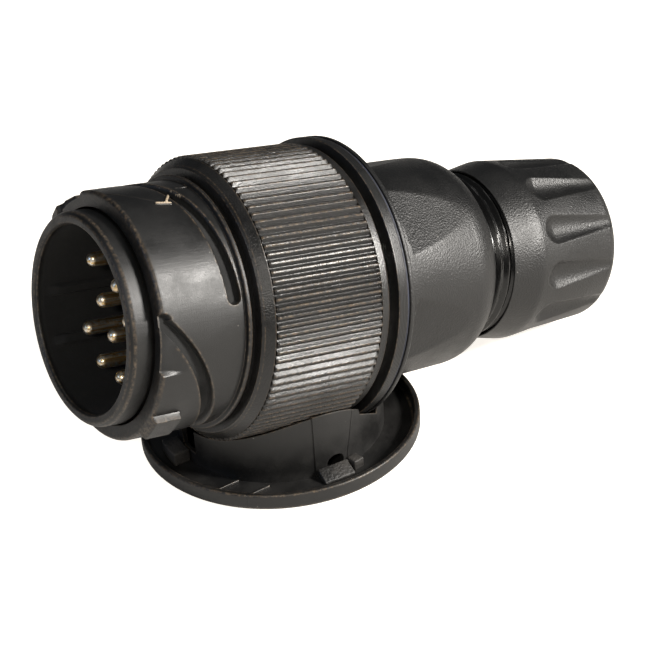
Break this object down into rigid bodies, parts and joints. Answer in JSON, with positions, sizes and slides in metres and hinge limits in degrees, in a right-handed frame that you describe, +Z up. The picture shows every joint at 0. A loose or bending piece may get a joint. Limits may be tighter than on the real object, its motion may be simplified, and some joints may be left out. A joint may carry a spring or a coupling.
{
  "type": "trailer wiring plug with parking cap",
  "caption": "Round multi-pole trailer wiring plug with knurled bayonet coupling ring, hexed rear housing and cable gland, lying across its dish-shaped parking cap.",
  "frame": {"origin": "centre of the parking cap's underside, where it stands on the table", "axes": "+Z up; +X towards the cable end of the plug, seen from above; +Y to the far side. The plug's own axis lies in the XZ plane, nose up by 11.5 degrees from -X."},
  "size_m": [0.1188, 0.055, 0.0607],
  "materials": {
    "shell_black": "satin moulded black plastic, lightly polished on the nose",
    "grip_black": "matt moulded black plastic with fine straight knurl",
    "housing_black": "fine spark-eroded texture",
    "cap_black": "satin moulded black plastic, speckled on the raised blocks",
    "gland_gloss": "glossy black plastic thread",
    "insert_black": "very dark matt insulator",
    "rubber": "matt black rubber",
    "gasket": "blue-black rubber",
    "contact_metal": "bright nickel plate",
    "brass": "machined brass",
    "steel": "zinc-plated steel"
  },
  "bodies": {
    "parking_cap": {"cap_dish": "cap_black", "cap_cradle": "cap_black", "cap_latch_tongue": "cap_black"},
    "plug_core": {"contact_housing": "shell_black", "contact_carrier": "insert_black", "outer_contact_pins": "contact_metal", "inner_contact_pins": "contact_metal", "terminal_barrels": "brass", "terminal_screws": "steel", "mouth_seal": "rubber", "sleeve_o_ring": "rubber", "sleeve_circlip": "steel", "wave_spring": "steel", "housing_o_ring": "rubber", "cable_clamp_yoke": "insert_black", "cable_clamp_bridge": "contact_metal", "cable_clamp_screws": "steel"},
    "coupling_ring": {"coupling_sleeve": "shell_black", "knurled_ring": "grip_black"},
    "housing_gasket": {"flange_gasket": "gasket"},
    "rear_shell": {"rear_housing": "housing_black", "gland_body": "gland_gloss", "gland_seal": "rubber", "clamping_collet": "insert_black"},
    "slip_washer": {"thrust_washer": "steel"},
    "cable_nut": {"gland_nut": "housing_black"}
  },
  "joints": [
    {"name": "plug_lift_off", "type": "slide", "parent": "parking_cap", "child": "plug_core", "axis": [0, 0, 1], "range_m": [0, 0.06]},
    {"name": "ring_turn", "type": "hinge", "parent": "plug_core", "child": "coupling_ring", "pos_m": [0, 0, 0.03166], "axis": [-0.9799, 0, 0.1994], "range_deg": [0, 115]},
    {"name": "housing_back_off", "type": "slide", "parent": "plug_core", "child": "housing_gasket", "axis": [0.9799, 0, -0.1994], "range_m": [0, 0.00225]},
    {"name": "housing_turn", "type": "hinge", "parent": "housing_gasket", "child": "rear_shell", "pos_m": [0, 0, 0.03166], "axis": [0.9799, 0, -0.1994], "range_deg": [0, 540]},
    {"name": "gland_advance", "type": "slide", "parent": "rear_shell", "child": "slip_washer", "axis": [-0.9799, 0, 0.1994], "range_m": [-0.002, 0.004]},
    {"name": "gland_turn", "type": "hinge", "parent": "slip_washer", "child": "cable_nut", "pos_m": [0, 0, 0.03166], "axis": [-0.9799, 0, 0.1994], "range_deg": [-360, 720]}
  ],
  "couplings": [
    {"joint": "housing_back_off", "follows": "housing_turn", "m_per_rad": 0.00023873},
    {"joint": "gland_advance", "follows": "gland_turn", "m_per_rad": 0.00031831}
  ]
}
